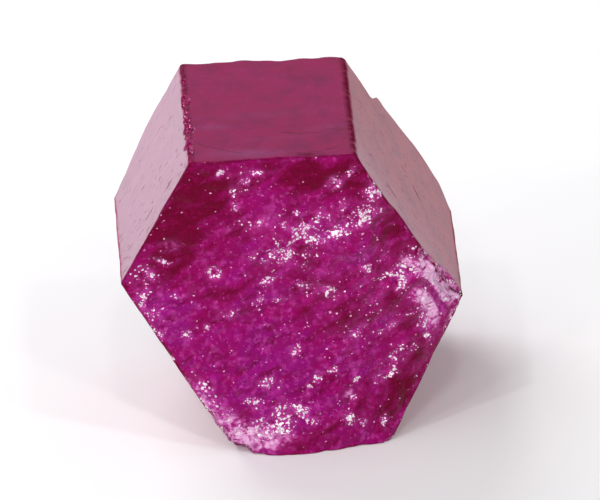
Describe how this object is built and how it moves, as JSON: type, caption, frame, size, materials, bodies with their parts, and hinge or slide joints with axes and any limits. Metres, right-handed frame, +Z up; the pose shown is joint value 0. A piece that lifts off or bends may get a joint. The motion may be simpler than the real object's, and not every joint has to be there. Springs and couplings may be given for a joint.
{
  "type": "red beryl crystal",
  "caption": "Stubby six-sided prism of raspberry red beryl with flat glassy long faces, a rough etched end and a broken end, lying on one long face.",
  "frame": {"origin": "on the resting face, below the prism's axis and halfway along its length", "axes": "+Z up, +Y along the prism's axis from the rough end to the broken end, +X to the right seen from the rough end"},
  "size_m": [0.0064, 0.0062, 0.0058],
  "materials": {
    "beryl": "clear to cloudy raspberry red crystal, glassy on the long faces and finely etched on the ends"
  },
  "bodies": {
    "root": {"crystal": "beryl"}
  },
  "joints": []
}
